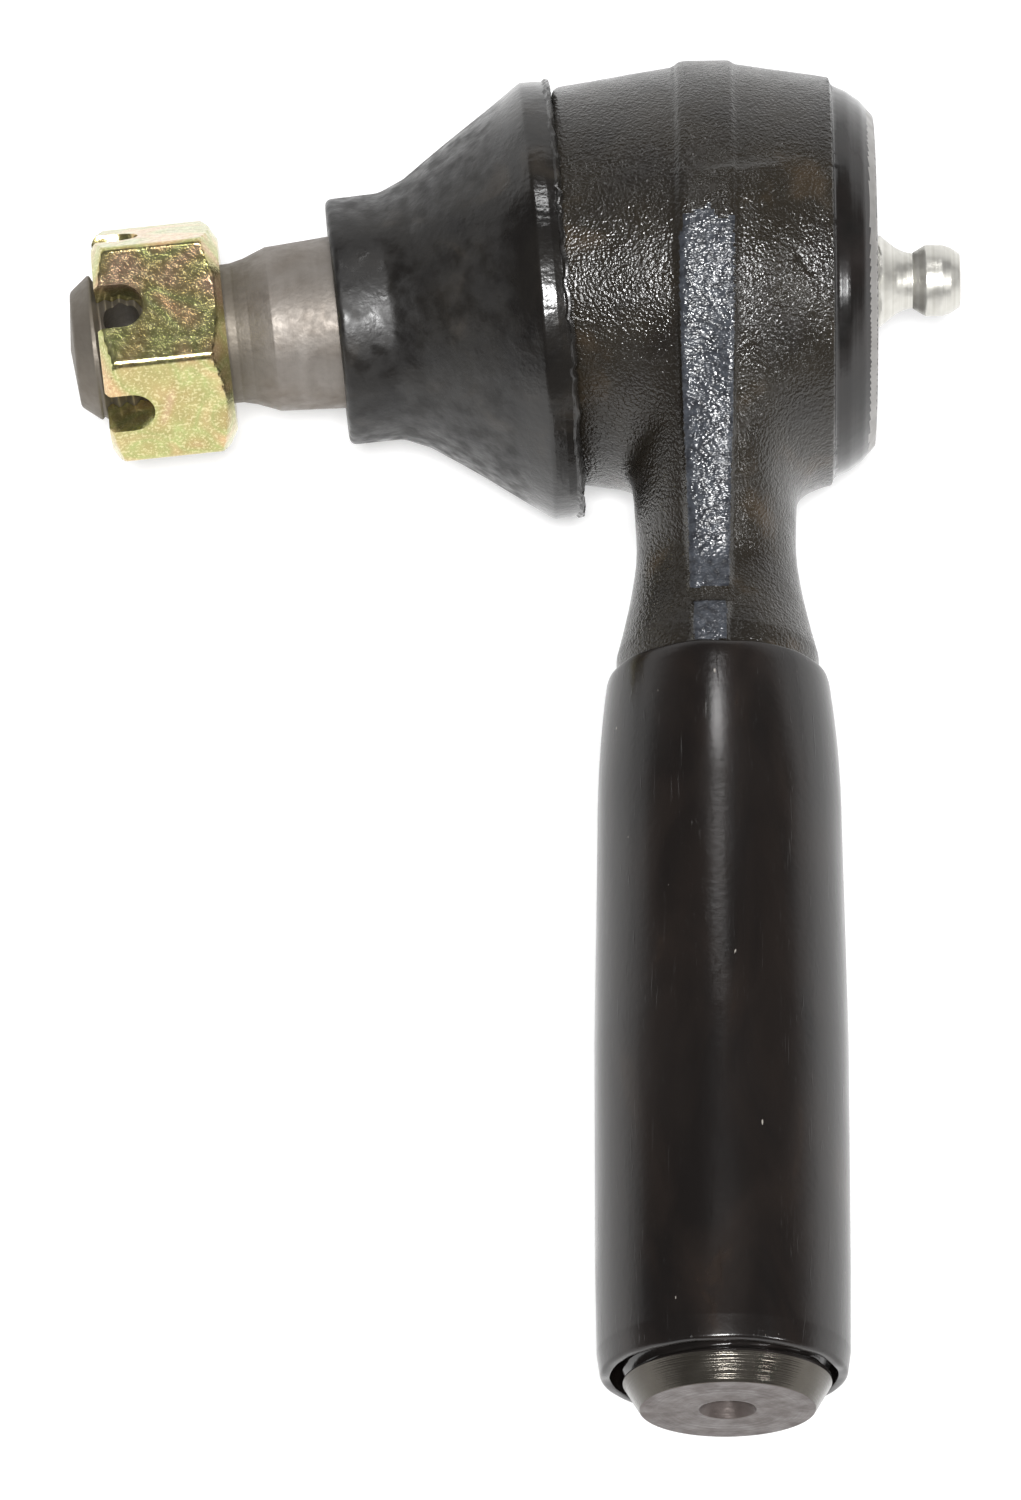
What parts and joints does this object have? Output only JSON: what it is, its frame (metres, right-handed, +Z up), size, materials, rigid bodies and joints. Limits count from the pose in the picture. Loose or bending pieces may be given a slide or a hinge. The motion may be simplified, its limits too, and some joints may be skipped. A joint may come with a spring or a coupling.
{
  "type": "tie rod end",
  "caption": "Greaseable tie rod end: forged socket with threaded shank, tilting and spinning tapered ball stud, slotted nut, rubber boot, thread guard.",
  "frame": {"origin": "centre of the ball", "axes": "X is the socket's axis, the stud towards -X and the grease nipple towards +X; the shank runs along -Y; +Z is up when the part lies flat"},
  "size_m": [0.0789, 0.1238, 0.039],
  "materials": {
    "black_paint": "gloss black paint over a forged skin",
    "bearing_steel": "ground",
    "stud_steel": "turned, bare, darkened by heat treatment",
    "spring_steel": "oiled",
    "plate_steel": "pressed sheet steel",
    "bright_zinc": "bright zinc plate",
    "yellow_zinc": "yellow passivated zinc plate",
    "boot_rubber": "satin black rubber",
    "bush_plastic": "moulded nylon",
    "guard_plastic": "smooth black vinyl"
  },
  "bodies": {
    "socket": {"housing": "black_paint", "end_plate": "plate_steel", "grease_nipple": "bright_zinc", "preload_spring": "spring_steel", "nipple_spring": "spring_steel"},
    "swivel": {"upper_bearing": "bearing_steel", "boot": "boot_rubber", "boot_ring": "plate_steel"},
    "rocker": {"half_ball": "bearing_steel", "boot_bush": "bush_plastic"},
    "stud": {"ball_stud": "stud_steel"},
    "nut": {"slotted_nut": "yellow_zinc"},
    "guard": {"thread_guard": "guard_plastic"},
    "pressure_seat": {"lower_bearing": "bearing_steel"},
    "check_valve": {"nipple_ball": "bearing_steel"}
  },
  "joints": [
    {"name": "stud_swivel", "type": "hinge", "parent": "socket", "child": "swivel", "pos_m": [0, 0, 0], "axis": [1, 0, 0], "continuous": true},
    {"name": "stud_tilt", "type": "hinge", "parent": "swivel", "child": "rocker", "pos_m": [0, 0, 0], "axis": [0, 0, 1], "range_deg": [-31, 19], "deforming": ["boot"]},
    {"name": "stud_spin", "type": "hinge", "parent": "rocker", "child": "stud", "pos_m": [0, 0, 0], "axis": [-0.9945, -0.1045, 0], "continuous": true},
    {"name": "nut_travel", "type": "slide", "parent": "stud", "child": "nut", "axis": [-0.9945, -0.1045, 0], "range_m": [0, 0.01524]},
    {"name": "guard_travel", "type": "slide", "parent": "socket", "child": "guard", "axis": [0, -1, 0], "range_m": [0, 0.07]},
    {"name": "bearing_travel", "type": "slide", "parent": "socket", "child": "pressure_seat", "axis": [1, 0, 0], "range_m": [0, 0.0005], "stiffness_N_per_m": 5000, "springref_m": -0.004, "deforming": ["preload_spring"]},
    {"name": "check_travel", "type": "slide", "parent": "socket", "child": "check_valve", "axis": [-1, 0, 0], "range_m": [0, 0.0008], "stiffness_N_per_m": 200, "springref_m": -0.002, "deforming": ["nipple_spring"]}
  ]
}
